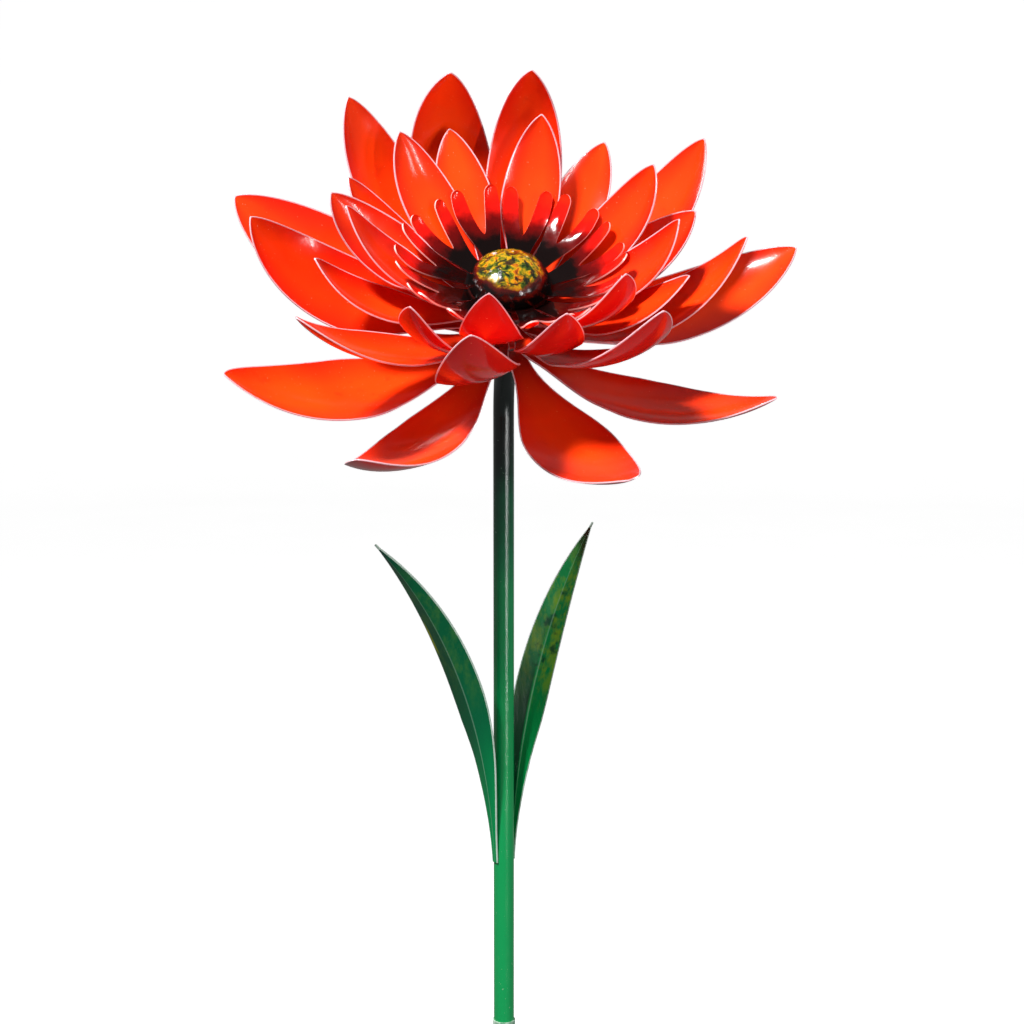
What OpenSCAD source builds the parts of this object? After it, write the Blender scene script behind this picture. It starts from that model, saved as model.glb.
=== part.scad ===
// Garden wind spinner: a layered metal flower that turns on a tilted spindle,
// on a tube stake with two leaves and a push-in ground fork.
// Millimetres. +Z is up, the flower leans towards -Y, and the origin is on the
// stake's axis at ground level.

/* [Flower head] */
// Lean of the flower's axis from the vertical
head_tilt = 36; // [25:1:45]
// Thickness of the petal sheet
sheet = 1.2; // [1:0.1:1.4]
// Length of an outer petal along its midrib
outer_length = 216; // [190:2:230]
// Length of a second-row petal
second_length = 194; // [170:2:200]
// Length of a third-row petal
third_length = 140; // [125:1:145]
// Length of an inner petal
inner_length = 138; // [120:1:145]
// Half the greatest width of an outer petal
outer_half = 34; // [26:1:36]
// Half the greatest width of a second-row petal
second_half = 30; // [22:1:31]
// Half the greatest width of a third-row or inner petal
inner_half = 23; // [16:1:24]

/* [Centre] */
// Length of one forked finger petal
finger_length = 62; // [50:1:66]
// Radius of the domed boss
dome_radius = 30; // [24:1:30]
// Height of the domed boss
dome_height = 23; // [16:1:28]

/* [Hub] */
// Radius of the spindle
spindle_r = 4; // [3:0.5:4.5]
// Outer radius of the hub sleeve
sleeve_r = 10; // [9:0.5:10]

/* [Stake] */
// Height of the bend in the upper tube above the ground
bend_height = 1025; // [800:5:1400]
// Outer radius of the tube
tube_r = 8; // [7:0.5:9]
// Wall of the tube
tube_wall = 1.2; // [1:0.1:2]
// Height of the joint between the two tubes
joint_height = 544; // [300:1:600]
// Height of the leaves' roots
leaf_height = 674; // [650:1:700]
// Length of the left leaf along its midrib
left_length = 292; // [240:2:300]
// Length of the right leaf along its midrib
right_length = 278; // [240:2:300]
// Half the greatest width of a leaf
leaf_half = 15; // [11:1:17]

/* [Ground fork] */
// Height of the step bar's underside above the ground
step_height = 12; // [10:1:30]
// Length of the centre peg below the step bar
peg_length = 190; // [120:5:260]
// Distance of each side prong from the stake's axis
prong_reach = 45; // [35:1:60]

/* [Hidden] */
$fn = 64;
// Each petal as bent by hand: azimuth, lift at the root, bank and curl, in degrees
outer_set = [
    [15, -8, 8, 49], [50, -12, 0, 55], [107, 13, -9, 102], [150, 3, -43, 25],
    [206, -10, -4, 61], [240, -14, 18, 74], [287, -7, -2, 57], [322, -8, -11, 62]
];
second_set = [
    [31, 10, 3, 65], [81, 22, -4, 84], [136, 22, -3, 52], [170, -2, -30, 67],
    [216, 10, 5, 51], [257, 14, 21, 67], [304, 15, -8, 65], [345, 11, 5, 69]
];
third_set = [
    [13, 16, 26, 37], [56, 19, 16, 36], [107, 19, -13, 36], [151, 14, 6, 51],
    [181, -5, 3, 73], [232, 8, 2, 79], [285, 13, -5, 76], [336, 12, 6, 56]
];
inner_set = [
    [25, 17, 13, 64], [76, 19, 0, 63], [130, 21, -8, 48], [163, 13, -34, 46],
    [182, 19, -5, 58], [258, 10, 5, 90], [311, 12, -12, 82], [355, 10, 12, 75]
];

// Hub stack, measured along the flower's axis from the back of the outer plate
plate_w = [2, 15, 27, 38];
plate_r = [26, 24, 22, 20];
plate_thick = 1.5;
petal_cup = [20, 24, 26, 26];
tab_angle = [17, 14, 13, 9];
tab_in = 13;
finger_w = [54, 55.2];
finger_root = 31;
sleeve_w = [-8, 58];
sleeve_wall = 2;
bearing_long = 5;
running_gap = 0.05;
spindle_end = 67;
nut_long = 6.5;
washer_thick = 1;
plug_w = -16;

// Petal sheet grid: stations along the midrib, strips across, and the fall of the
// outline towards a round tip
petal_stations = [0, 0.09, 0.18, 0.27, 0.36, 0.46, 0.56, 0.66, 0.76, 0.85, 0.92, 0.97, 0.99, 1];
petal_fall = 2.2;
petal_blunt = 0.72;
across = 4;
bend_power = 1.5;
widest = 0.5;
tip_half = 0.8;

// Forked fingers: lift at the root, curl, and the outline's stations and half widths
finger_lift = 14;
finger_curl = 44;
notch_row = 5;
finger_stations = [0, 0.1, 0.2, 0.3, 0.4, 0.5, 0.6, 0.72, 0.84, 0.92, 0.96, 0.985, 1];
finger_tip_y = 13.5;
finger_half = 4.6;
fork_root_half = 7;
first_back = 17;
first_front = 47;

// Domed boss
dome_w = finger_w[1] + sheet;
dome_lip = 6;

// Leaves, each as bent by hand: azimuth, lift at the root, bank and curl
left_set = [215, 86, 25, -42];
right_set = [38, 87, 35, -34];
leaf_power = 1.2;
leaf_root_half = 3;
leaf_fold = 22;
leaf_steps = 14;
leaf_sheet = 1.2;

// Stake, bend and ground fork
bend_r = 45;
neck_straight = 20;
collar_long = 16;
coupler_long = 90;
coupler_gap = 0.1;
step_thick = 6;
step_wide = 20;
peg_r = 6;
peg_neck_r = 5;
peg_point = 14;
peg_plug = 40;
prong_r = 4;
prong_length = 150;
prong_point = 10;
prong_inset = 8;

function turn(az, p) = [p[0] * cos(az) - p[1] * sin(az), p[0] * sin(az) + p[1] * cos(az), p[2]];
function ease(x) = x * x * (3 - 2 * x);
function arc_y(h, fold, t) = fold == 0 ? h * t : h * sin(fold * t) / (fold * PI / 180);
function arc_n(h, fold, t) = fold == 0 ? 0 : h * (1 - cos(fold * t)) / (fold * PI / 180);

// Points [out, up] of a midrib whose pitch goes from lift by curl along its length
function midrib(length, n, lift, curl, power = bend_power) = [
    for (i = 0, p = [0, 0]; i <= n;
         p = p + length / n * [cos(lift + curl * pow((i + 0.5) / n, power)),
                               sin(lift + curl * pow((i + 0.5) / n, power))],
         i = i + 1) p
];

// Half width of a lance-shaped blade at u along its length, from root to tip
function lance(u, root, half, fall, blunt) = u < widest
    ? root + (half - root) * ease(u / widest)
    : max(tip_half, half * pow(1 - pow((u - widest) / (1 - widest), fall), blunt));

// One face of a petal as rows of points; up is its distance above the lower face
function petal_face(k, set, length, half, up) =
    let (az = set[0], lift = set[1], bank = set[2], curl = set[3],
         n = 200, rib = midrib(length, n, lift, curl), root = plate_r[k] * tan(tab_angle[k]))
    [for (i = [-1:len(petal_stations) - 1])
        let (u = i < 0 ? 0 : petal_stations[i], p = rib[round(u * n)],
             th = i < 0 ? 0 : lift + curl * pow(u, bend_power),
             out = i < 0 ? tab_in : plate_r[k] + p[0],
             w = plate_w[k] + plate_thick + (i < 0 ? 0 : p[1]),
             h = i < 0 ? tab_in * tan(tab_angle[k])
                 : lance(u, root, half, petal_fall, petal_blunt),
             fold = petal_cup[k] * min(1, u / 0.35), roll = bank * min(1, u / 0.4))
        [for (j = [0:across])
            let (t = 2 * j / across - 1,
                 y = arc_y(h, fold, t), n = arc_n(h, fold, t),
                 side = y * cos(roll) - n * sin(roll) - up * sin(fold * t + roll),
                 lift_n = y * sin(roll) + n * cos(roll) + up * cos(fold * t + roll))
            turn(az, [out - lift_n * sin(th), side, w + lift_n * cos(th)])]];

// Closed solid between two faces given as rows of points. With split set, the middle
// strip ends at that row, which leaves a notch between two fingers.
module sheet_solid(low, high, split = -1) {
    n = len(low) - 1;
    m = len(low[0]);
    o = (n + 1) * m;
    mid = split < 0 ? -1 : m / 2 - 1;
    quad = function (a, b, c, d) [[a, c, b], [a, d, c]];
    cells = [for (i = [0:n - 1], j = [0:m - 2]) if (j != mid || i < split) i * m + j];
    polyhedron(
        concat([for (row = low) each row], [for (row = high) each row]),
        concat(
            [for (a = cells) each quad(a, a + 1, a + m + 1, a + m)],
            [for (a = cells) each quad(o + a, o + a + m, o + a + m + 1, o + a + 1)],
            [for (i = [0:n - 1]) let (a = i * m) each quad(a, a + m, o + a + m, o + a)],
            [for (i = [0:n - 1]) let (a = i * m + m - 1) each quad(a, o + a, o + a + m, a + m)],
            [for (j = [0:m - 2]) each quad(j, o + j, o + j + 1, j + 1)],
            [for (j = [0:m - 2]) if (j != mid) let (a = n * m + j) each quad(a, a + 1, o + a + 1, o + a)],
            split < 0 ? [] : let (a = split * m + mid) quad(a, a + 1, o + a + 1, o + a),
            split < 0 ? [] : [for (i = [split:n - 1]) let (a = i * m + mid) each quad(a, o + a, o + a + m, a + m)],
            split < 0 ? [] : [for (i = [split:n - 1]) let (a = i * m + mid + 1) each quad(a, a + m, o + a + m, o + a)]));
}

// The flower's axis, from height h above the end of the bend
module on_neck(h) translate([0, -bend_r, bend_height]) rotate([head_tilt, 0, 0])
    translate([0, bend_r, h]) children();
module on_head() on_neck(neck_straight - plug_w) children();
module ring(r_out, r_in, low, high) translate([0, 0, low]) difference() {
    cylinder(r = r_out, h = high - low);
    translate([0, 0, -1]) cylinder(r = r_in, h = high - low + 2);
}

// Petals, each spot-welded by its tab to the plate of its row
module petal(k, set, length, half) color([0.93, 0.13, 0.05]) on_head()
    sheet_solid(petal_face(k, set, length, half, 0), petal_face(k, set, length, half, sheet));
module outer_petal(i) petal(0, outer_set[i], outer_length, outer_half);
module second_petal(i) petal(1, second_set[i], second_length, second_half);
module third_petal(i) petal(2, third_set[i], third_length, inner_half);
module inner_petal(i) petal(3, inner_set[i], inner_length, inner_half);
module row_plate(k) color([0.75, 0.1, 0.05]) on_head()
    ring(plate_r[k] - 1, sleeve_r, plate_w[k], plate_w[k] + plate_thick);
module outer_plate() row_plate(0);
module second_plate() row_plate(1);
module third_plate() row_plate(2);
module inner_plate() row_plate(3);

// Spacer rings that hold the plates apart on the sleeve
module hub_spacers() color([0.3, 0.3, 0.3]) on_head() {
    ring(tab_in - 0.3, sleeve_r, plate_w[0] + plate_thick, plate_w[1]);
    ring(tab_in - 0.3, sleeve_r, plate_w[1] + plate_thick, plate_w[2]);
    ring(tab_in - 0.3, sleeve_r, plate_w[2] + plate_thick, plate_w[3]);
    ring(tab_in - 0.3, sleeve_r, plate_w[3] + plate_thick, finger_w[0]);
}

// Forked petals: two round-ended fingers that part at the notch
function finger_inner(u) = let (v = finger_stations[notch_row])
    0.4 + (u < v ? 0 : (finger_tip_y - finger_half - 0.4) * pow((u - v) / (1 - v), 0.7));
function finger_outer(u) = fork_root_half
    + (finger_tip_y + finger_half - fork_root_half) * ease(min(1, u / 0.8));
function finger_round(u) = let (x = max(0, u - 0.91) / 0.09) sqrt(max(0.03, 1 - x * x));
function finger_face(w, az, up) =
    let (n = 200, rib = midrib(finger_length, n, finger_lift, finger_curl))
    [for (i = [-1:len(finger_stations) - 1])
        let (u = i < 0 ? 0 : finger_stations[i], p = rib[round(u * n)],
             th = i < 0 ? 0 : finger_lift + finger_curl * pow(u, bend_power),
             mid = (finger_inner(u) + finger_outer(u)) / 2,
             half = (finger_outer(u) - finger_inner(u)) / 2 * finger_round(u),
             out = i < 0 ? finger_root - 6 : finger_root + p[0], taper = i < 0 ? 0.8 : 1)
        [for (y = [-mid - half, -mid, half - mid, mid - half, mid, mid + half])
            turn(az, [out - up * sin(th), y * taper, w + p[1] + up * cos(th)])]];
module forks(w, first) color([0.25, 0.03, 0.03]) on_head() for (i = [0:5])
    sheet_solid(finger_face(w, first + 60 * i, 0), finger_face(w, first + 60 * i, sheet), notch_row + 1);
module finger_plate() color([0.1, 0.02, 0.02]) on_head()
    ring(finger_root - 0.5, sleeve_r, finger_w[0], finger_w[1]);
module back_fingers() forks(finger_w[0] - sheet, first_back);
module front_fingers() forks(finger_w[1], first_front);

// Domed boss with a turned-in rim that sits on the tabs of the front fingers
module dome_boss() color([0.5, 0.45, 0.1]) on_head() translate([0, 0, dome_w]) rotate_extrude()
    polygon(concat(
        [[dome_radius - dome_lip, 0], [dome_radius, 0]],
        [for (a = [6:6:90]) [dome_radius * cos(a), dome_height * sin(a)]],
        [for (a = [90:-6:6]) [(dome_radius - sheet) * cos(a), (dome_height - sheet) * sin(a)]],
        [[dome_radius - dome_lip, sheet]]));

// Hub and spindle
module hub_sleeve() color([0.6, 0.6, 0.62]) on_head() difference() {
    ring(sleeve_r, sleeve_r - sleeve_wall - 1, sleeve_w[0], sleeve_w[1]);
    translate([0, 0, sleeve_w[0] - 1]) cylinder(r = sleeve_r - sleeve_wall, h = bearing_long + 1);
    translate([0, 0, sleeve_w[1] - bearing_long]) cylinder(r = sleeve_r - sleeve_wall, h = bearing_long + 1);
}
module bearing(low) color([0.8, 0.8, 0.82]) on_head()
    ring(sleeve_r - sleeve_wall, spindle_r + running_gap, low, low + bearing_long);
module rear_bearing() bearing(sleeve_w[0]);
module front_bearing() bearing(sleeve_w[1] - bearing_long);
module spindle() color([0.7, 0.7, 0.72]) on_head() translate([0, 0, plug_w])
    cylinder(r = spindle_r, h = spindle_end - plug_w);
module thrust_washers() color([0.75, 0.75, 0.75]) on_head() {
    ring(spindle_r + 3, spindle_r, sleeve_w[0] - 0.3 - washer_thick, sleeve_w[0] - 0.3);
    ring(spindle_r + 3, spindle_r, sleeve_w[1] + 0.3, sleeve_w[1] + 0.3 + washer_thick);
}
module lock_nut() color([0.78, 0.78, 0.8]) on_head() translate([0, 0, sleeve_w[1] + 0.3 + washer_thick])
    difference() {
        cylinder(r = 6.5 / cos(30), h = nut_long, $fn = 6);
        translate([0, 0, -1]) cylinder(r = spindle_r, h = nut_long + 2);
    }
module neck_plug() color([0.05, 0.25, 0.12]) on_head() difference() {
    union() {
        translate([0, 0, plug_w]) cylinder(r = tube_r, h = 4);
        translate([0, 0, plug_w - 14]) cylinder(r = tube_r - tube_wall, h = 14);
        translate([0, 0, plug_w + 4]) cylinder(r = spindle_r + 3, h = sleeve_w[0] - 0.3 - washer_thick - plug_w - 4);
    }
    translate([0, 0, plug_w]) cylinder(r = spindle_r, h = 20);
}

// Stake: the upper tube bends over at the top, where a straight socket is butt-welded to it
module upper_tube() color([0.02, 0.4, 0.2]) {
    ring(tube_r, tube_r - tube_wall, joint_height, bend_height);
    translate([0, -bend_r, bend_height]) rotate([90, 0, 90]) rotate_extrude(angle = head_tilt)
        translate([bend_r, 0]) difference() {
            circle(r = tube_r);
            circle(r = tube_r - tube_wall);
        }
}
module neck_socket() color([0.02, 0.4, 0.2]) on_neck(0) ring(tube_r, tube_r - tube_wall, 0, neck_straight);
module lower_tube() color([0.02, 0.45, 0.22])
    ring(tube_r, tube_r - tube_wall, step_height + step_thick, joint_height);
module joint_collar() color([0.3, 0.42, 0.34])
    ring(tube_r + 0.9, tube_r, joint_height - collar_long, joint_height - 0.5);
module coupler() color([0.5, 0.5, 0.5]) translate([0, 0, joint_height - coupler_long / 2])
    cylinder(r = tube_r - tube_wall - coupler_gap, h = coupler_long);

// Folded leaves: the blade leaves the tube upright and curves outwards
function leaf_face(set, length, up) =
    let (az = set[0], lift = set[1], bank = set[2], curl = set[3],
         rib = midrib(length, leaf_steps, lift, curl, leaf_power))
    [for (i = [0:leaf_steps])
        let (u = i / leaf_steps, th = lift + curl * pow(u, leaf_power),
             h = lance(u, leaf_root_half, leaf_half, 2, 1),
             fold = leaf_fold * min(1, u / 0.3), roll = bank * min(1, u / 0.4))
        [for (t = [-1, -0.5, 0, 0.5, 1])
            let (y = h * t * cos(fold), n = h * abs(t) * sin(fold),
                 side = y * cos(roll) - n * sin(roll) - up * sin(roll),
                 lift_n = y * sin(roll) + n * cos(roll) + up * cos(roll))
            turn(az, [tube_r + leaf_sheet + rib[i][0] - lift_n * sin(th), side,
                      leaf_height + rib[i][1] + lift_n * cos(th)])]];
module leaf(set, length) color([0.02, 0.45, 0.25])
    sheet_solid(leaf_face(set, length, 0), leaf_face(set, length, leaf_sheet));
module left_leaf() leaf(left_set, left_length);
module right_leaf() leaf(right_set, right_length);

// Ground fork: a step bar on the centre peg, with a prong at each end
module step_bar() color([0.03, 0.3, 0.16]) difference() {
    translate([-prong_reach, -step_wide / 2, step_height])
        cube([2 * prong_reach, step_wide, step_thick]);
    translate([0, 0, step_height - 1]) cylinder(r = peg_neck_r, h = step_thick + 2);
    for (s = [-1, 1]) translate([s * (prong_reach - prong_inset), 0, step_height - 1])
        cylinder(r = prong_r, h = step_thick + 2);
}
module centre_peg() color([0.4, 0.4, 0.4]) {
    translate([0, 0, step_height - peg_length]) cylinder(r = peg_r, h = peg_length);
    translate([0, 0, step_height - peg_length - peg_point]) cylinder(r1 = 1, r2 = peg_r, h = peg_point);
    translate([0, 0, step_height]) cylinder(r = peg_neck_r, h = step_thick);
    translate([0, 0, step_height + step_thick]) cylinder(r = tube_r - tube_wall, h = peg_plug);
}
module side_prongs() color([0.4, 0.4, 0.4]) for (s = [-1, 1]) translate([s * (prong_reach - prong_inset), 0, 0]) {
    translate([0, 0, step_height - prong_length]) cylinder(r = prong_r, h = prong_length + step_thick);
    translate([0, 0, step_height - prong_length - prong_point])
        cylinder(r1 = 1, r2 = prong_r, h = prong_point);
}

function numbered(name, n) = [for (i = [1:n]) str(name, i)];

for (i = [0:7]) outer_petal(i);
for (i = [0:7]) second_petal(i);
for (i = [0:7]) third_petal(i);
for (i = [0:7]) inner_petal(i);
outer_plate();
second_plate();
third_plate();
inner_plate();
hub_spacers();
finger_plate();
back_fingers();
front_fingers();
dome_boss();
hub_sleeve();
rear_bearing();
front_bearing();
spindle();
thrust_washers();
lock_nut();
neck_plug();
neck_socket();
upper_tube();
lower_tube();
joint_collar();
coupler();
left_leaf();
right_leaf();
step_bar();
centre_peg();
side_prongs();
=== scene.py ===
"""Looks of the garden wind spinner: a layered enamelled flower on a green stake.

Shapes are worked out in millimetres and turned into metres when a mesh is made.
"""
import math

import bpy
import numpy as np
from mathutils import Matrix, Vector


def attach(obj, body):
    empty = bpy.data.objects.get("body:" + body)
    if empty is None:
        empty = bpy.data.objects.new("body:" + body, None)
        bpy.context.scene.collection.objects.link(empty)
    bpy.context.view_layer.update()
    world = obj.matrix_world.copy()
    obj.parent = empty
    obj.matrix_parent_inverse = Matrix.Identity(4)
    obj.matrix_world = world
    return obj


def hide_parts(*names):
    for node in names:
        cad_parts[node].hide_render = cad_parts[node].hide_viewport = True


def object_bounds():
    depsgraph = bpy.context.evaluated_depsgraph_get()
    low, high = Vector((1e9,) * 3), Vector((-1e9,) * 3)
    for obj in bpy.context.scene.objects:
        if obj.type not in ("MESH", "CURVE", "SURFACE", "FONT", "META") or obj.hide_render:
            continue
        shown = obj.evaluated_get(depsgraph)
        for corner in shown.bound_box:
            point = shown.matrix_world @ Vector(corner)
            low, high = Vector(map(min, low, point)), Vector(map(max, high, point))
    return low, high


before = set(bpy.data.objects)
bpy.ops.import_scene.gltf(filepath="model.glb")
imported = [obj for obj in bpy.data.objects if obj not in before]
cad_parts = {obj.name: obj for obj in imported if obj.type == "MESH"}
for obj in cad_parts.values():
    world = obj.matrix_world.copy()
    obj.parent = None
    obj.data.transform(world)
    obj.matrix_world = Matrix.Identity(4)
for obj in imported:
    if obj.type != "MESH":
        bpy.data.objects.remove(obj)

cad_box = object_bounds()
MM = 0.001

# ---------------------------------------------------------------- sizes, as in part.scad
HEAD_TILT = 36
SHEET = 1.2
BEND_HEIGHT = 1025
BEND_R = 45
NECK_TO_HEAD = 36
PLATE_THICK = 1.5
TAB_IN = 13
BEND_POWER = 1.5
WIDEST = 0.5
PETAL_FALL = 2.2
PETAL_BLUNT = 0.72
TIP_HALF = 0.8
CUP_FULL_AT = 0.35
BANK_FULL_AT = 0.4
# Drawn detail: how far the painted underside stays inside the sheet, the width of the
# bare rim line and the rounding of cut edges
PAINT_INSET = 0.15
RIM = 0.9
TIP_RIM = 1.0
PETAL_ROUNDING = 0.42
FINGER_ROUNDING = 0.5
LEAF_ROUNDING = 0.4
MIDRIB_STEPS = 800

# Each row: plate height and radius, cup and tab angle, petal length and half width,
# and for each petal its azimuth, lift at the root, bank and curl
ROWS = {
    "outer": dict(w=2, r=26, cup=20, tab=17, length=216, half=34, petals=[
        (15, -8, 8, 49), (50, -12, 0, 55), (107, 13, -9, 102), (150, 3, -43, 25),
        (206, -10, -4, 61), (240, -14, 18, 74), (287, -7, -2, 57), (322, -8, -11, 62)]),
    "second": dict(w=15, r=24, cup=24, tab=14, length=194, half=30, petals=[
        (31, 10, 3, 65), (81, 22, -4, 84), (136, 22, -3, 52), (170, -2, -30, 67),
        (216, 10, 5, 51), (257, 14, 21, 67), (304, 15, -8, 65), (345, 11, 5, 69)]),
    "third": dict(w=27, r=22, cup=26, tab=13, length=140, half=23, petals=[
        (13, 16, 26, 37), (56, 19, 16, 36), (107, 19, -13, 36), (151, 14, 6, 51),
        (181, -5, 3, 73), (232, 8, 2, 79), (285, 13, -5, 76), (336, 12, 6, 56)]),
    "inner": dict(w=38, r=20, cup=26, tab=9, length=138, half=23, petals=[
        (25, 17, 13, 64), (76, 19, 0, 63), (130, 21, -8, 48), (163, 13, -34, 46),
        (182, 19, -5, 58), (258, 10, 5, 90), (311, 12, -12, 82), (355, 10, 12, 75)]),
}

FINGER_PLATE = (54, 55.2)
FINGER = dict(root=31, tab=6, length=62, lift=14, curl=44, tip_y=13.5, half=4.6, root_half=7,
              notch=0.4, notch_gap=0.4, crown=0.9)
FIRST_BACK = 17
FIRST_FRONT = 47

DOME_W = 56.4
DOME_RADIUS = 30
DOME_HEIGHT = 23
DOME_LIP = 6

TUBE_R = 8
LEAF_HEIGHT = 674
LEAVES = {
    "left_leaf": dict(bend=(215, 86, 25, -42), length=292),
    "right_leaf": dict(bend=(38, 87, 35, -34), length=278),
}
LEAF = dict(power=1.2, root_half=3, half=15, fold=22, fold_full_at=0.3, rim=0.8)


# ---------------------------------------------------------------- shape helpers
def on_head(points):
    """Head points (mm, along the flower's axis) as row-frame points in metres."""
    tilt = math.radians(HEAD_TILT)
    c, s = math.cos(tilt), math.sin(tilt)
    x, y, z = points[..., 0], points[..., 1] + BEND_R, points[..., 2] + NECK_TO_HEAD
    return np.stack([x, y * c - z * s - BEND_R, y * s + z * c + BEND_HEIGHT], -1) * MM


def turned(azimuth, x, y, z):
    a = math.radians(azimuth)
    return np.stack([x * math.cos(a) - y * math.sin(a), x * math.sin(a) + y * math.cos(a), z + 0 * x], -1)


def ease(x):
    return x * x * (3 - 2 * x)


def midrib(u, length, lift, curl, power):
    """Distance out and up, and pitch, at each u of a blade whose pitch goes from lift by curl."""
    fine = np.linspace(0, 1, MIDRIB_STEPS + 1)
    pitch = np.radians(lift + curl * (0.5 * (fine[1:] + fine[:-1])) ** power)
    step = length / MIDRIB_STEPS
    out = np.interp(u, fine, np.r_[0, np.cumsum(np.cos(pitch) * step)])
    up = np.interp(u, fine, np.r_[0, np.cumsum(np.sin(pitch) * step)])
    return out, up, np.radians(lift + curl * u ** power)


def lance(u, root, half, fall, blunt):
    """Half width of a lance-shaped blade."""
    rise = root + (half - root) * ease(np.clip(u / WIDEST, 0, 1))
    narrow = half * (1 - np.clip((u - WIDEST) / (1 - WIDEST), 0, 1) ** fall) ** blunt
    return np.maximum(TIP_HALF, np.where(u < WIDEST, rise, narrow))


def across(h, edge_steps, inner):
    """Positions from -1 to 1 across each row of half width h, with lines close to both edges."""
    near = np.minimum(np.outer(1 / h, edge_steps), 0.5)
    left = -1 + near
    middle = np.linspace(0, 1, inner + 2)[1:-1]
    lo, hi = left[:, -1:], -left[:, -1:]
    return np.hstack([left, lo + (hi - lo) * middle, -left[:, ::-1]])


def sheet_mesh(name, low, high, attributes, split=None, bands=2):
    """Closed sheet between two grids of points (rows x columns x 3, metres).

    split is (column, row): past that row the strip right of that column is cut out.
    The sides, the outermost strips (as many as bands says) and the cut edge get material
    index 1. Points of the low face have face 0, those of the high face 1.
    """
    n, m = low.shape[:2]
    o = n * m
    verts = np.concatenate([low.reshape(-1, 3), high.reshape(-1, 3)])
    column, row = split if split else (-1, n)
    faces, rims = [], []

    def quad(a, b, c, d, rim):
        faces.append((a, b, c, d))
        rims.append(rim)

    def near_edge(i, j):
        sides = [0, m - 1] + ([column, column + 1] if split and i >= row else [])
        gap = min(abs(j - s) if j < s else j + 1 - s for s in sides)
        return gap <= bands or i >= n - 1 - bands

    for i in range(n - 1):
        for j in range(m - 1):
            if j == column and i >= row:
                continue
            a = i * m + j
            rim = near_edge(i, j)
            quad(a, a + m, a + m + 1, a + 1, rim)
            quad(o + a, o + a + 1, o + a + m + 1, o + a + m, rim)
        a, b = i * m, i * m + m - 1
        quad(a, o + a, o + a + m, a + m, True)
        quad(b, b + m, o + b + m, o + b, True)
        if split and i >= row:
            a, b = i * m + column, i * m + column + 1
            quad(a, a + m, o + a + m, o + a, True)
            quad(b, o + b, o + b + m, b + m, True)
    for j in range(m - 1):
        a, b = j, (n - 1) * m + j
        quad(a, a + 1, o + a + 1, o + a, False)
        if j != column:
            quad(b, o + b, o + b + 1, b + 1, True)
    if split:
        a = row * m + column
        quad(a, o + a, o + a + 1, a + 1, True)
    mesh = bpy.data.meshes.new(name)
    mesh.from_pydata(verts.tolist(), [], faces)
    mesh.polygons.foreach_set("material_index", [int(r) for r in rims])
    mesh.polygons.foreach_set("use_smooth", [True] * len(faces))
    for key, values in attributes.items():
        layer = mesh.attributes.new(key, "FLOAT", "POINT")
        layer.data.foreach_set("value", np.concatenate([values.ravel(), values.ravel()]).astype(np.float32))
    face = mesh.attributes.new("face", "FLOAT", "POINT")
    face.data.foreach_set("value", np.repeat([0.0, 1.0], o).astype(np.float32))
    mesh.validate()
    return link(name, mesh)


def link(name, mesh):
    piece = bpy.data.objects.new(name, mesh)
    bpy.context.scene.collection.objects.link(piece)
    return piece


def rounded_edges(piece, width, segments=2, angle=50):
    """Rounds the cut edges of a sheet, so that they catch the light."""
    bevel = piece.modifiers.new("rounded", "BEVEL")
    bevel.width = width * MM
    bevel.segments = segments
    bevel.limit_method = "ANGLE"
    bevel.angle_limit = math.radians(angle)
    bevel.harden_normals = True
    return piece


def shell_of_turn(name, profile, turns=96):
    """Surface of revolution about the flower's axis, from a closed profile of (r, w) points."""
    count = len(profile)
    angles = np.linspace(0, 2 * math.pi, turns, endpoint=False)
    r = np.array([p[0] for p in profile])
    w = np.array([p[1] for p in profile])
    points = np.stack([np.outer(np.cos(angles), r), np.outer(np.sin(angles), r), np.tile(w, (turns, 1))], -1)
    faces = []
    for i in range(turns):
        k = (i + 1) % turns
        for j in range(count):
            l = (j + 1) % count
            faces.append((i * count + j, k * count + j, k * count + l, i * count + l))
    mesh = bpy.data.meshes.new(name)
    mesh.from_pydata(on_head(points).reshape(-1, 3).tolist(), [], faces)
    mesh.polygons.foreach_set("use_smooth", [True] * len(faces))
    height = mesh.attributes.new("height", "FLOAT", "POINT")
    height.data.foreach_set("value", points[..., 2].ravel().astype(np.float32))
    mesh.validate()
    return link(name, mesh)


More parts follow.
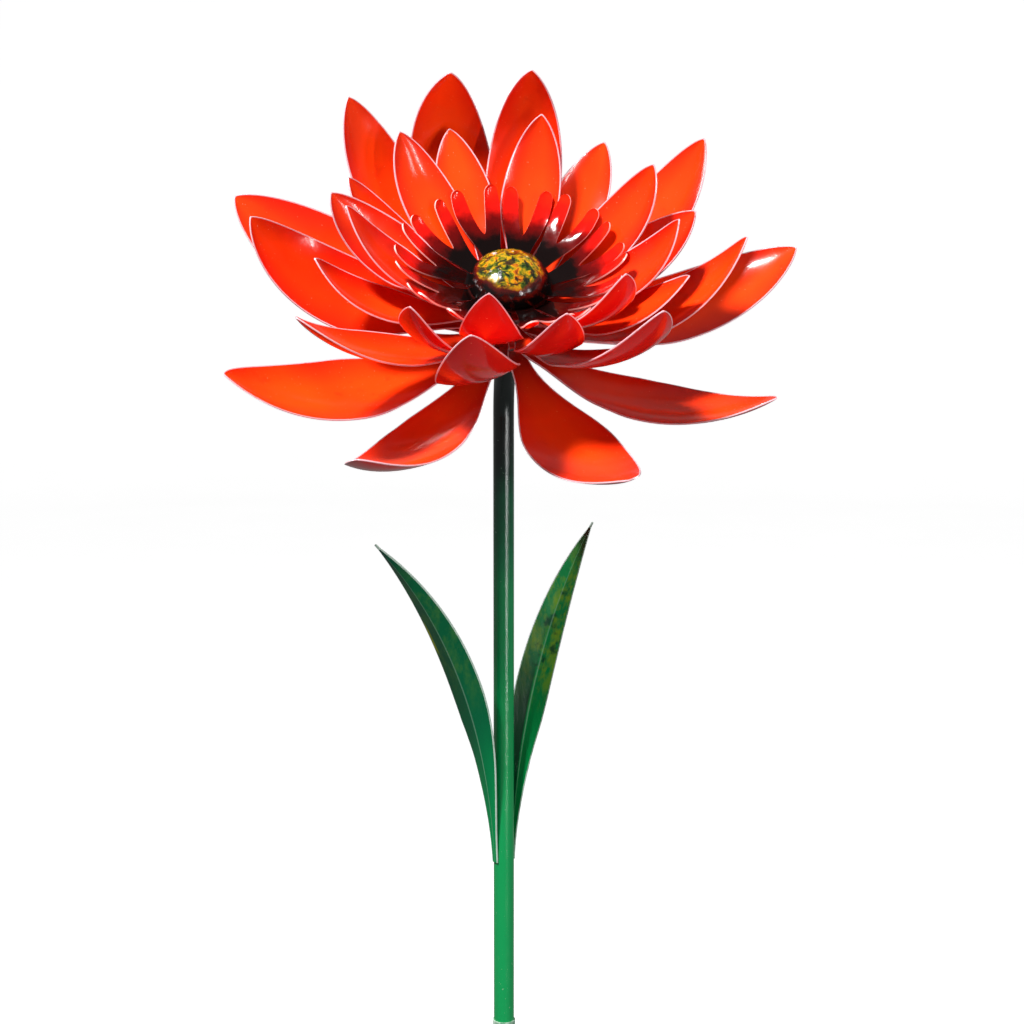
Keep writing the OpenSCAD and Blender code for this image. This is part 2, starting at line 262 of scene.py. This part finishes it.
# ---------------------------------------------------------------- material helpers
class Nodes:
    """A short way to write node trees."""

    def __init__(self, name):
        self.material = bpy.data.materials.new(name)
        self.material.use_nodes = True
        self.tree = self.material.node_tree
        self.shader = self.tree.nodes["Principled BSDF"]

    def add(self, kind, **inputs):
        node = self.tree.nodes.new(kind)
        for key, value in inputs.items():
            self.put(node, key, value)
        return node

    def put(self, node, key, value):
        numbered = key[0] == "_" and key[1:].isdigit()
        socket = node.inputs[int(key[1:]) if numbered else key.replace("_", " ")]
        if isinstance(value, bpy.types.NodeSocket):
            self.tree.links.new(value, socket)
        else:
            socket.default_value = value

    def set(self, **inputs):
        for key, value in inputs.items():
            self.put(self.shader, key, value)

    def place(self, scale=(1, 1, 1)):
        where = self.add("ShaderNodeTexCoord").outputs["Object"]
        mapping = self.add("ShaderNodeMapping", Vector=where, Scale=scale)
        return mapping.outputs["Vector"]

    def noise(self, scale, detail=3, roughness=0.5, vector=None, distortion=0):
        node = self.add("ShaderNodeTexNoise", Vector=vector or self.place(), Scale=scale, Detail=detail,
                        Roughness=roughness, Distortion=distortion)
        return node.outputs["Fac"]

    def ramp(self, fac, stops, smooth=False):
        node = self.add("ShaderNodeValToRGB", Fac=fac)
        node.color_ramp.interpolation = "EASE" if smooth else "LINEAR"
        elements = node.color_ramp.elements
        while len(elements) < len(stops):
            elements.new(0.5)
        for element, (at, colour) in zip(elements, stops):
            element.position = at
            element.color = (*colour, 1) if len(colour) == 3 else colour
        return node.outputs["Color"]

    def span(self, value, low, high, to_low=0.0, to_high=1.0):
        node = self.add("ShaderNodeMapRange", Value=value)
        node.inputs["From Min"].default_value = low
        node.inputs["From Max"].default_value = high
        node.inputs["To Min"].default_value = to_low
        node.inputs["To Max"].default_value = to_high
        return node.outputs["Result"]

    def math(self, operation, a, b):
        node = self.add("ShaderNodeMath", _0=a, _1=b)
        node.operation = operation
        return node.outputs["Value"]

    def mix(self, fac, a, b):
        node = self.add("ShaderNodeMix")
        node.data_type = "RGBA"
        self.put(node, "_0", fac)
        self.put(node, "_6", a)
        self.put(node, "_7", b)
        return node.outputs[2]

    def attribute(self, name):
        node = self.add("ShaderNodeAttribute")
        node.attribute_name = name
        return node.outputs["Fac"]

    def bump(self, height, strength, distance, normal=None):
        node = self.add("ShaderNodeBump", Height=height, Strength=strength, Distance=distance)
        if normal:
            self.put(node, "Normal", normal)
        return node.outputs["Normal"]

    def orange_peel(self, strength):
        """The fine waviness of sprayed enamel."""
        return self.bump(self.noise(420, 2), strength, 0.0004)

    def height_of(self):
        where = self.add("ShaderNodeSeparateXYZ", Vector=self.add("ShaderNodeTexCoord").outputs["Object"])
        return where.outputs["Z"]


def rgb(r, g, b):
    return (r, g, b, 1.0)


def red_enamel():
    m = Nodes("red_enamel")
    tone = m.noise(9, 2, 0.5)
    # Painted light: the middle of each petal is painted more orange than its margins, as if more brightly
    # lit; the noise adds a random tone of the paint on top.
    centre = m.span(m.math("ABSOLUTE", m.attribute("side"), 0.0), 1.0, 0.3, 0.0, 0.5)
    tone_and_painted_light = m.math("ADD", m.span(tone, 0.35, 0.65, 0.0, 0.5), centre)
    base = m.mix(tone_and_painted_light, rgb(0.66, 0.006, 0.003), rgb(0.92, 0.050, 0.003))
    # Painted shade: the underside of each petal is painted a darker crimson than its top face.
    shaded_underside = m.mix(tone, rgb(0.50, 0.006, 0.006), rgb(0.62, 0.012, 0.008))
    base = m.mix(m.attribute("face"), shaded_underside, base)
    # Painted shade: each petal darkens towards its root, where it lies under the petals, fingers and dome in
    # front.
    root = m.span(m.attribute("along"), 0.0, 0.30, 0.85, 0.0)
    base = m.mix(root, base, rgb(0.22, 0.004, 0.003))
    streaks = m.noise(60, 3, 0.6)
    base = m.mix(m.span(streaks, 0.62, 0.75, 0.0, 0.35), base, rgb(0.62, 0.012, 0.004))
    specks = m.noise(900, 1, 0.4)
    base = m.mix(m.span(specks, 0.76, 0.80, 0.0, 0.5), base, rgb(0.95, 0.35, 0.22))
    dents = m.noise(26, 2, 0.55)
    normal = m.bump(dents, 0.22, 0.004, m.orange_peel(0.10))
    m.set(Base_Color=base, Roughness=m.span(m.noise(40, 2), 0.3, 0.7, 0.12, 0.20), Normal=normal)
    m.set(Specular_IOR_Level=0.20, Coat_Weight=0.12, Coat_Roughness=0.03)
    return m.material


def bare_edge():
    m = Nodes("petal_edge")
    worn = m.noise(220, 3, 0.6)
    base = m.mix(m.span(worn, 0.60, 0.74), rgb(0.70, 0.37, 0.41), rgb(0.74, 0.16, 0.15))
    m.set(Base_Color=base, Roughness=m.span(worn, 0.3, 0.7, 0.22, 0.40), Normal=m.bump(worn, 0.1, 0.0003))
    m.set(Specular_IOR_Level=0.6, Coat_Weight=0.3, Coat_Roughness=0.1)
    return m.material


def finger_enamel():
    m = Nodes("finger_enamel")
    spray = m.noise(70, 3, 0.6)
    along = m.math("ADD", m.attribute("along"), m.span(spray, 0.3, 0.7, -0.07, 0.07))
    base = m.ramp(along, [(0.30, (0.003, 0.001, 0.001)), (0.54, (0.09, 0.001, 0.001)),
                          (0.78, (0.60, 0.006, 0.003)), (1.0, (0.78, 0.016, 0.003))], smooth=True)
    normal = m.bump(m.noise(60, 2), 0.25, 0.002, m.orange_peel(0.1))
    m.set(Base_Color=base, Roughness=m.span(spray, 0.3, 0.7, 0.08, 0.14), Normal=normal)
    m.set(Specular_IOR_Level=0.18, Coat_Weight=0.06, Coat_Roughness=0.02)
    return m.material


def finger_edge():
    m = Nodes("finger_edge")
    along = m.attribute("along")
    worn = m.noise(220, 3, 0.6)
    # The edge is dark at the root and pale towards the tip: partly the bare edge of the sheet, partly a
    # painted highlight along the rounded edge and tip.
    base = m.mix(m.span(along, 0.25, 0.75), rgb(0.10, 0.010, 0.010), rgb(0.92, 0.52, 0.48))
    m.set(Base_Color=base, Roughness=m.span(worn, 0.3, 0.7, 0.14, 0.3), Normal=m.bump(worn, 0.1, 0.0003))
    m.set(Specular_IOR_Level=0.7, Coat_Weight=0.5, Coat_Roughness=0.05)
    return m.material


def mottled_dome():
    m = Nodes("mottled_dome")
    cells = m.noise(170, 4, 0.62, distortion=0.6)
    blots = m.noise(95, 3, 0.6, m.place((1.0, 1.3, 1.0)), distortion=1.2)
    paint = m.ramp(cells, [(0.34, (0.006, 0.012, 0.003)), (0.42, (0.035, 0.070, 0.005)),
                           (0.48, (0.15, 0.13, 0.004)), (0.55, (0.46, 0.26, 0.004)),
                           (0.61, (0.38, 0.10, 0.004)), (0.70, (0.12, 0.015, 0.004))])
    paint = m.mix(m.span(blots, 0.50, 0.58, 0.0, 0.92), paint, rgb(0.007, 0.008, 0.005))
    edge = m.math("ADD", m.attribute("height"), m.span(m.noise(80, 3), 0.3, 0.7, -2.2, 2.2))
    # Below the cap the dome is black paint, grading up into a red-brown band that is partly paint and partly
    # a painted reflection of the red petals.
    rim = m.ramp(m.span(edge, DOME_W, DOME_W + DOME_HEIGHT),
                 [(0.48, (0.003, 0.002, 0.002)), (0.60, (0.05, 0.004, 0.003)), (0.66, (0.16, 0.014, 0.004))])
    cap = m.span(edge, DOME_W + 0.60 * DOME_HEIGHT, DOME_W + 0.69 * DOME_HEIGHT)
    normal = m.bump(cells, 0.35, 0.0012, m.bump(m.noise(380, 2), 0.12, 0.0004))
    m.set(Base_Color=m.mix(cap, rim, paint), Roughness=m.span(blots, 0.3, 0.7, 0.07, 0.14), Normal=normal)
    m.set(Specular_IOR_Level=0.35, Coat_Weight=0.25, Coat_Roughness=0.02)
    return m.material


def dark_enamel():
    m = Nodes("dark_enamel")
    cloud = m.noise(60, 3, 0.6)
    base = m.mix(m.span(cloud, 0.4, 0.7), rgb(0.008, 0.003, 0.003), rgb(0.05, 0.005, 0.004))
    m.set(Base_Color=base, Roughness=m.span(cloud, 0.3, 0.7, 0.10, 0.18), Normal=m.orange_peel(0.12))
    m.set(Specular_IOR_Level=0.2, Coat_Weight=0.05, Coat_Roughness=0.03)
    return m.material


def dark_red_enamel():
    m = Nodes("dark_red_enamel")
    cloud = m.noise(40, 3, 0.6)
    base = m.mix(m.span(cloud, 0.4, 0.7), rgb(0.25, 0.006, 0.004), rgb(0.45, 0.014, 0.006))
    m.set(Base_Color=base, Roughness=m.span(cloud, 0.3, 0.7, 0.22, 0.36), Normal=m.orange_peel(0.12))
    m.set(Coat_Weight=0.3, Coat_Roughness=0.08)
    return m.material


def green_enamel():
    m = Nodes("green_enamel")
    z = m.height_of()
    cloud = m.noise(16, 3, 0.55)
    # Painted shadow of the flower head: the stake is painted darker towards the top, near black just under
    # the head.
    painted_head_shadow_height = m.math("ADD", z, m.span(cloud, 0.3, 0.7, -0.03, 0.03))
    base = m.ramp(m.span(painted_head_shadow_height, 0.55, 1.10), [(0.0, (0.001, 0.27, 0.070)), (0.41, (0.001, 0.25, 0.066)),
                                            (0.55, (0.001, 0.21, 0.060)), (0.67, (0.001, 0.12, 0.042)),
                                            (0.75, (0.001, 0.05, 0.022)), (0.84, (0.0005, 0.004, 0.003))])
    flecks = m.noise(700, 2, 0.5)
    base = m.mix(m.span(flecks, 0.74, 0.78, 0.0, 0.6), base, rgb(0.42, 0.62, 0.46))
    low = m.span(z, 0.60, 0.50)
    chips = m.math("MULTIPLY", low, m.span(m.noise(260, 3, 0.6), 0.66, 0.72))
    base = m.mix(chips, base, rgb(0.42, 0.60, 0.45))
    grain = m.noise(1100, 3, 0.65, m.place((1, 1, 0.55)))
    normal = m.bump(grain, 0.30, 0.0005, m.bump(m.noise(90, 2), 0.12, 0.001))
    m.set(Base_Color=base, Roughness=m.span(m.noise(50, 2), 0.3, 0.7, 0.14, 0.22), Normal=normal)
    m.set(Specular_IOR_Level=0.55, Coat_Weight=0.0)
    return m.material


def leaf_enamel(name, tip, mid, root, patches, shade, tinge):
    """Brushed green: patches is the mottling, shade the dark half, tinge a yellow spot at one edge."""
    m = Nodes(name)
    along = m.attribute("along")
    side = m.attribute("side")
    brush = m.noise(70, 3, 0.6, m.place((1, 1, 0.16)))
    at = m.math("ADD", along, m.span(brush, 0.3, 0.7, -0.05, 0.05))
    base = m.ramp(at, [(0.05, root), (0.45, mid), (0.85, mid), (0.97, tip)], smooth=True)
    inside = m.math("MULTIPLY", m.span(along, 0.42, 0.55), m.span(along, 0.94, 0.80))
    mottle = m.noise(110, 4, 0.7, m.place((1, 1, 0.35)))
    spots = m.math("MULTIPLY", inside, m.span(mottle, 0.44, 0.62, 0.0, patches))
    base = m.mix(spots, base, rgb(0.22, 0.42, 0.02))
    dark = m.math("MULTIPLY", inside, m.span(m.noise(80, 3, 0.6), 0.56, 0.68, 0.0, patches))
    base = m.mix(dark, base, rgb(0.004, 0.07, 0.03))
    # Painted shade: one half of the folded blade is painted dark, less so towards the tip.
    shaded = m.math("MULTIPLY", m.span(side, 0.0, 0.15, 0.0, shade), m.span(at, 0.80, 0.45, 0.2, 1.0))
    base = m.mix(shaded, base, rgb(0.001, 0.010, 0.006))
    window = m.math("MULTIPLY", m.span(at, 0.56, 0.62), m.span(at, 0.72, 0.66))
    yellow = m.math("MULTIPLY", window, m.span(side, -0.70, -0.90, 0.0, tinge))
    base = m.mix(yellow, base, rgb(0.50, 0.55, 0.01))
    crease = m.span(m.math("ABSOLUTE", side, 0.0), 0.0, 0.06, 0.45, 0.0)
    base = m.mix(crease, base, rgb(0.30, 0.52, 0.38))
    normal = m.bump(m.noise(700, 3, 0.6), 0.16, 0.0004, m.bump(brush, 0.2, 0.0015))
    m.set(Base_Color=base, Roughness=m.span(brush, 0.3, 0.7, 0.18, 0.30), Normal=normal)
    m.set(Specular_IOR_Level=0.18, Coat_Weight=0.0)
    return m.material


def leaf_edge():
    m = Nodes("leaf_edge")
    worn = m.noise(200, 3, 0.6)
    base = m.mix(m.span(worn, 0.50, 0.72), rgb(0.46, 0.58, 0.50), rgb(0.22, 0.40, 0.29))
    m.set(Base_Color=base, Roughness=m.span(worn, 0.3, 0.7, 0.25, 0.42), Normal=m.bump(worn, 0.1, 0.0003))
    return m.material


def collar_paint():
    m = Nodes("collar_paint")
    cloud = m.noise(200, 4, 0.65)
    base = m.ramp(cloud, [(0.35, (0.10, 0.26, 0.16)), (0.50, (0.24, 0.38, 0.28)), (0.66, (0.55, 0.66, 0.56))])
    m.set(Base_Color=base, Roughness=m.span(cloud, 0.3, 0.7, 0.35, 0.55), Normal=m.bump(cloud, 0.3, 0.0006))
    return m.material


def steel(name, light, dark, roughness):
    m = Nodes(name)
    grain = m.noise(500, 3, 0.6, m.place((1, 1, 0.1)))
    base = m.mix(m.span(grain, 0.35, 0.65), rgb(*[dark] * 3), rgb(light, light, light * 1.03))
    m.set(Base_Color=base, Roughness=m.span(grain, 0.3, 0.7, roughness - 0.06, roughness + 0.08))
    m.set(Metallic=1.0, Normal=m.bump(grain, 0.15, 0.0003))
    return m.material


def studio_paper():
    m = Nodes("studio_paper")
    base = m.mix(m.span(m.noise(3, 2), 0.3, 0.7), rgb(0.86, 0.86, 0.86), rgb(0.89, 0.89, 0.89))
    m.set(Base_Color=base, Roughness=0.9)
    m.set(Specular_IOR_Level=0.0, Emission_Color=rgb(1, 1, 1), Emission_Strength=0.78)
    return m.material


RED = red_enamel()
EDGE = bare_edge()
DARK = dark_enamel()
DARK_RED = dark_red_enamel()
GREEN = green_enamel()
ZINC = steel("zinc_steel", 0.72, 0.50, 0.30)
DULL = steel("dull_steel", 0.34, 0.20, 0.42)
BEARING = steel("bearing_steel", 0.80, 0.62, 0.16)
COLLAR = collar_paint()


# ---------------------------------------------------------------- petals
def petal_grid(row, bend, rows_along=44, inner=9):
    azimuth, lift, bank, curl = bend
    u = 1 - (1 - np.linspace(0, 1, rows_along)) ** 1.6
    tip_line = 1 - TIP_RIM / row["length"]
    u = np.r_[u[u < tip_line - 0.002], tip_line, 1.0]
    out, up, pitch = midrib(u, row["length"], lift, curl, BEND_POWER)
    root = row["r"] * math.tan(math.radians(row["tab"]))
    h = lance(u, root, row["half"], PETAL_FALL, PETAL_BLUNT)
    fold = np.radians(row["cup"]) * np.minimum(1, u / CUP_FULL_AT)
    roll = np.radians(bank) * np.minimum(1, u / BANK_FULL_AT)
    tab_r = np.linspace(TAB_IN, row["r"], 4)[:-1]
    tab_h = tab_r * math.tan(math.radians(row["tab"]))
    zero = np.zeros(len(tab_r))
    out = np.r_[tab_r, row["r"] + out]
    up = np.r_[zero, up]
    pitch, h, fold, roll = np.r_[zero, pitch], np.r_[tab_h, h], np.r_[zero, fold], np.r_[zero, roll]
    t = across(h, np.array([0.0, RIM]), inner)
    out, up, pitch, h, fold, roll = [x[:, None] for x in (out, up, pitch, h, fold, roll)]
    arc = np.maximum(fold, 1e-6)
    side = h * np.sin(arc * t) / arc
    rise = h * (1 - np.cos(arc * t)) / arc
    base_w = row["w"] + PLATE_THICK

    def face(above):
        y = side * np.cos(roll) - rise * np.sin(roll) - above * np.sin(fold * t + roll)
        n = side * np.sin(roll) + rise * np.cos(roll) + above * np.cos(fold * t + roll)
        x = out - n * np.sin(pitch)
        w = base_w + up + n * np.cos(pitch)
        return on_head(turned(azimuth, x, y + 0 * x, w))

    along = np.r_[zero, u][:, None] + 0 * t
    return face(PAINT_INSET), face(SHEET), along, t


for row_name, row in ROWS.items():
    for number, bend in enumerate(row["petals"], 1):
        low, high, along, side = petal_grid(row, bend)
        node = f"{row_name}_petal_{number}"
        petal = sheet_mesh(node + "_sheet", low, high, {"along": along, "side": side}, bands=1)
        petal.data.materials.append(RED)
        petal.data.materials.append(EDGE)
        rounded_edges(petal, PETAL_ROUNDING)
        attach(petal, "flower")
        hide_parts(node)


# ---------------------------------------------------------------- fingers
def fork_grid(w, azimuth):
    f = FINGER
    u = np.r_[np.linspace(0, 0.88, 26),
              0.90, 0.92, 0.935, 0.95, 0.962, 0.972, 0.981, 0.988, 0.994, 0.998, 1.0]
    row = int(np.argmin(np.abs(u - f["notch"])))
    u[row] = f["notch"]
    out, up, pitch = midrib(u, f["length"], f["lift"], f["curl"], BEND_POWER)
    past = np.clip((u - f["notch"]) / (1 - f["notch"]), 0, 1)
    inner = f["notch_gap"] + (f["tip_y"] - f["half"] - f["notch_gap"]) * past ** 0.7
    outer = f["root_half"] + (f["tip_y"] + f["half"] - f["root_half"]) * ease(np.minimum(1, u / 0.8))
    rounding = np.sqrt(np.maximum(0.02, 1 - (np.maximum(0, u - 0.91) / 0.09) ** 2))
    mid, half = (inner + outer) / 2, (outer - inner) / 2 * rounding
    s = np.array([-1, -0.9, -0.5, 0, 0.5, 0.9, 1])
    right = mid[:, None] + half[:, None] * s
    y = np.hstack([-right[:, ::-1], right])
    crown = f["crown"] * (np.minimum(1, past * 1.6) * half / f["half"])[:, None] * (1 - np.tile(s, 2) ** 2)
    out, up, pitch = [x[:, None] for x in (f["root"] + out, up, pitch)]
    y = np.vstack([y[:1] * 0.8, y])
    out = np.vstack([[[f["root"] - f["tab"]]], out])
    up, pitch, crown = [np.vstack([0 * x[:1], x]) for x in (up, pitch, crown)]

    def face(above):
        n = above - crown
        return on_head(turned(azimuth, out - n * np.sin(pitch), y + 0 * out, w + up + n * np.cos(pitch)))

    along = np.r_[0, u][:, None] + 0 * y
    return face(0.0), face(SHEET), along, (6, row + 1)


def fingers(node, w, first):
    for i in range(6):
        low, high, along, split = fork_grid(w, first + 60 * i)
        fork = sheet_mesh(f"{node}_{i + 1}", low, high, {"along": along}, split=split, bands=0)
        fork.data.materials.append(FINGERS)
        fork.data.materials.append(FINGER_EDGE)
        rounded_edges(fork, FINGER_ROUNDING, 3)
        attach(fork, "flower")
        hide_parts(node)


FINGERS = finger_enamel()
FINGER_EDGE = finger_edge()
fingers("back_fingers", FINGER_PLATE[0] - SHEET, FIRST_BACK)
fingers("front_fingers", FINGER_PLATE[1], FIRST_FRONT)


# ---------------------------------------------------------------- dome
def dome():
    arc = np.radians(np.linspace(0, 90, 31))
    outside = [(DOME_RADIUS * math.cos(a), DOME_W + 1 + (DOME_HEIGHT - 1) * math.sin(a)) for a in arc[:-1]]
    inside = [((DOME_RADIUS - SHEET) * math.cos(a), DOME_W + 1 + (DOME_HEIGHT - 1 - SHEET) * math.sin(a))
              for a in arc[-2::-1]]
    top = [(0.4, DOME_W + DOME_HEIGHT), (0.4, DOME_W + DOME_HEIGHT - SHEET)]
    lip = [(DOME_RADIUS - DOME_LIP, DOME_W + SHEET), (DOME_RADIUS - DOME_LIP, DOME_W),
           (DOME_RADIUS - 0.6, DOME_W), (DOME_RADIUS, DOME_W + 0.5)]
    return shell_of_turn("dome_shell", outside + top + inside + lip)


boss = dome()
boss.data.materials.append(mottled_dome())
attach(boss, "flower")
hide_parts("dome_boss")


# ---------------------------------------------------------------- leaves
def leaf_grid(bend, length, rows_along=56, inner=5):
    azimuth, lift, bank, curl = bend
    u = np.linspace(0, 1, rows_along)
    out, up, pitch = midrib(u, length, lift, curl, LEAF["power"])
    h = lance(u, LEAF["root_half"], LEAF["half"], 2, 1)
    fold = np.radians(LEAF["fold"]) * np.minimum(1, u / LEAF["fold_full_at"])
    roll = np.radians(bank) * np.minimum(1, u / BANK_FULL_AT)
    near = np.minimum(LEAF["rim"] / h, 0.3)[:, None]
    middle = np.linspace(0, 1, inner + 2)[1:-1][None, :]
    half_t = np.hstack([near * 0.6, near * 0.6 + (1 - near * 1.6) * middle, 1 - near, 1 + 0 * near])
    t = np.hstack([-half_t[:, ::-1], 0 * near, half_t])
    out, up, pitch, h, fold, roll = [x[:, None] for x in (out, up, pitch, h, fold, roll)]
    crease = np.sqrt(t ** 2 + (0.6 / h) ** 2) - 0.6 / h
    y, n = h * t * np.cos(fold), h * crease * np.sin(fold)

    def face(above):
        side = y * np.cos(roll) - n * np.sin(roll) - above * np.sin(roll)
        lift_n = y * np.sin(roll) + n * np.cos(roll) + above * np.cos(roll)
        x = TUBE_R + SHEET + out - lift_n * np.sin(pitch)
        return turned(azimuth, x, side + 0 * x, LEAF_HEIGHT + up + lift_n * np.cos(pitch)) * MM

    return face(0.0), face(SHEET), u[:, None] + 0 * t, t


LEAF_PAINT = {
    "left_leaf": leaf_enamel("left_leaf_paint", tip=(0.002, 0.05, 0.03), mid=(0.001, 0.115, 0.042),
                             root=(0.001, 0.22, 0.06), patches=0.12, shade=0.0, tinge=0.9),
    "right_leaf": leaf_enamel("right_leaf_paint", tip=(0.030, 0.012, 0.006), mid=(0.004, 0.27, 0.065),
                              root=(0.001, 0.30, 0.07), patches=0.9, shade=0.9, tinge=0.0),
}
LEAF_EDGE = leaf_edge()
for node, leaf in LEAVES.items():
    low, high, along, side = leaf_grid(leaf["bend"], leaf["length"])
    blade = sheet_mesh(node + "_blade", low, high, {"along": along, "side": side}, bands=1)
    blade.data.materials.append(LEAF_PAINT[node])
    blade.data.materials.append(LEAF_EDGE)
    rounded_edges(blade, LEAF_ROUNDING)
    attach(blade, "stake")
    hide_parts(node)


# ---------------------------------------------------------------- CAD pieces that stay
PAINTS = {
    "outer_plate": DARK_RED, "second_plate": DARK_RED, "third_plate": DARK_RED, "inner_plate": DARK_RED,
    "hub_spacers": DULL, "finger_plate": DARK, "hub_sleeve": ZINC, "rear_bearing": BEARING,
    "front_bearing": BEARING, "spindle": ZINC, "thrust_washers": ZINC, "lock_nut": ZINC,
    "neck_plug": GREEN, "neck_socket": GREEN, "upper_tube": GREEN, "lower_tube": GREEN,
    "joint_collar": COLLAR, "coupler": DULL, "step_bar": GREEN, "centre_peg": GREEN,
    "side_prongs": GREEN,
}
for node, paint in PAINTS.items():
    for material_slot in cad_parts[node].material_slots:
        material_slot.material = paint


# ---------------------------------------------------------------- stage, lights and camera
def aim(obj, at):
    obj.rotation_euler = (Vector(at) - obj.location).to_track_quat("-Z", "Y").to_euler()


def backdrop():
    """A paper bowl: floor, a wide bend and a wall all round."""
    floor_z = cad_box[0][2]
    reach, bend, wall, turns = 9.0, 1.6, 6.0, 72
    profile = [(reach, 0.0)]
    for a in np.radians(np.arange(6, 91, 6)):
        profile.append((reach + bend * math.sin(a), bend * (1 - math.cos(a))))
    profile += [(reach + bend, wall)]
    verts = [(0.0, 0.0, floor_z)]
    for a in np.linspace(0, 2 * math.pi, turns, endpoint=False):
        verts += [(r * math.cos(a), r * math.sin(a), floor_z + z) for r, z in profile]
    count = len(profile)
    faces = []
    for i in range(turns):
        here, there = 1 + i * count, 1 + (i + 1) % turns * count
        faces.append((0, here, there))
        faces += [(here + j, here + j + 1, there + j + 1, there + j) for j in range(count - 1)]
    mesh = bpy.data.meshes.new("paper_sweep")
    mesh.from_pydata(verts, [], faces)
    mesh.polygons.foreach_set("use_smooth", [True] * len(faces))
    sweep = link("paper_sweep", mesh)
    sweep.data.materials.append(studio_paper())
    sweep.visible_glossy = False
    sweep.visible_diffuse = False


def softbox(name, where, at, size, power, colour=(1, 1, 1)):
    light = bpy.data.lights.new(name, "AREA")
    light.shape = "RECTANGLE"
    light.size, light.size_y = size
    light.energy = power
    light.color = colour
    box = bpy.data.objects.new(name, light)
    bpy.context.scene.collection.objects.link(box)
    box.location = where
    aim(box, at)


backdrop()
HEAD_AT = (0, -0.06, 1.13)
softbox("key", (-0.9, -0.85, 2.65), HEAD_AT, (0.30, 0.30), 92)
softbox("fill", (1.6, -1.5, 1.2), HEAD_AT, (0.2, 0.7), 9)
softbox("stem_strip", (0.95, -1.7, 0.80), (0, 0, 0.80), (0.06, 1.0), 15)
softbox("back_left", (-1.6, 1.6, 1.6), HEAD_AT, (0.6, 0.9), 14)
softbox("back_right", (1.6, 1.6, 1.4), HEAD_AT, (0.6, 0.9), 10)

world = bpy.data.worlds.new("studio")
world.use_nodes = True
world.node_tree.nodes["Background"].inputs["Color"].default_value = (1, 1, 1, 1)
world.node_tree.nodes["Background"].inputs["Strength"].default_value = 0.22
bpy.context.scene.world = world
bpy.context.scene.view_settings.view_transform = "Standard"

camera_data = bpy.data.cameras.new("camera")
camera_data.lens = 70.3
camera_data.sensor_width = 36
camera = bpy.data.objects.new("camera", camera_data)
bpy.context.scene.collection.objects.link(camera)
camera.location = (-0.100, -1.522, 1.156)
camera.rotation_euler = (math.radians(90 - 7.66), 0, math.radians(-4))
bpy.context.scene.camera = camera
